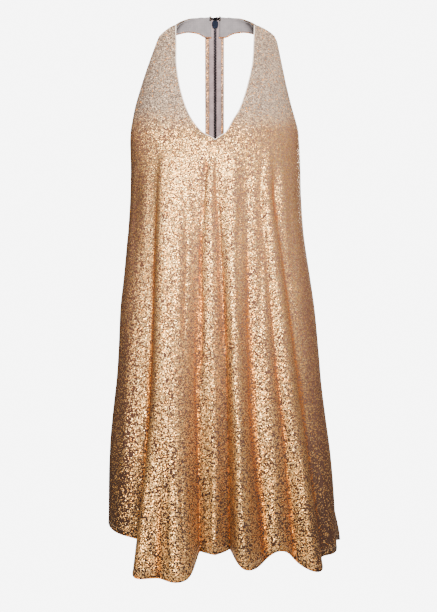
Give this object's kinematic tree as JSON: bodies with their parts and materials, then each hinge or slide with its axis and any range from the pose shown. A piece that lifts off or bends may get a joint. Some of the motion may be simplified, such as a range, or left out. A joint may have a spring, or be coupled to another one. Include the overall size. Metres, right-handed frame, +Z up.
{
  "type": "halter evening dress",
  "caption": "Short swing evening dress in gold foil-printed jersey, with a deep V neck, a halter neckband, a T-bar back and a metal zip.",
  "frame": {"origin": "at the nape, on the inner face of the neckband at centre back, half way up the band, where the wearer's neck holds the dress", "axes": "+Z up, from the hem to the neck; the front faces -Y; +X is the right-hand side as seen from the front"},
  "size_m": [0.3915, 0.3133, 0.9295],
  "materials": {
    "foil_jersey": "knitted jersey with a cracked gold foil print",
    "facing": "plain woven facing",
    "zip_tape": "herringbone woven tape",
    "dark_metal": "dark nickel plate"
  },
  "bodies": {
    "dress": {"front": "foil_jersey", "back_left": "foil_jersey", "back_right": "foil_jersey", "neckband_left": "foil_jersey", "neckband_right": "foil_jersey", "band_facing_left": "facing", "band_facing_right": "facing", "zip_tape_left": "zip_tape", "zip_tape_right": "zip_tape", "zip_chain": "dark_metal", "zip_slider": "dark_metal", "hook": "dark_metal", "eye": "dark_metal"},
    "pull": {"zip_pull": "dark_metal"}
  },
  "joints": [
    {"name": "pull_swing", "type": "hinge", "parent": "dress", "child": "pull", "pos_m": [0, 0.0049, 0.003], "axis": [1, 0, 0], "range_deg": [0, 160]}
  ]
}
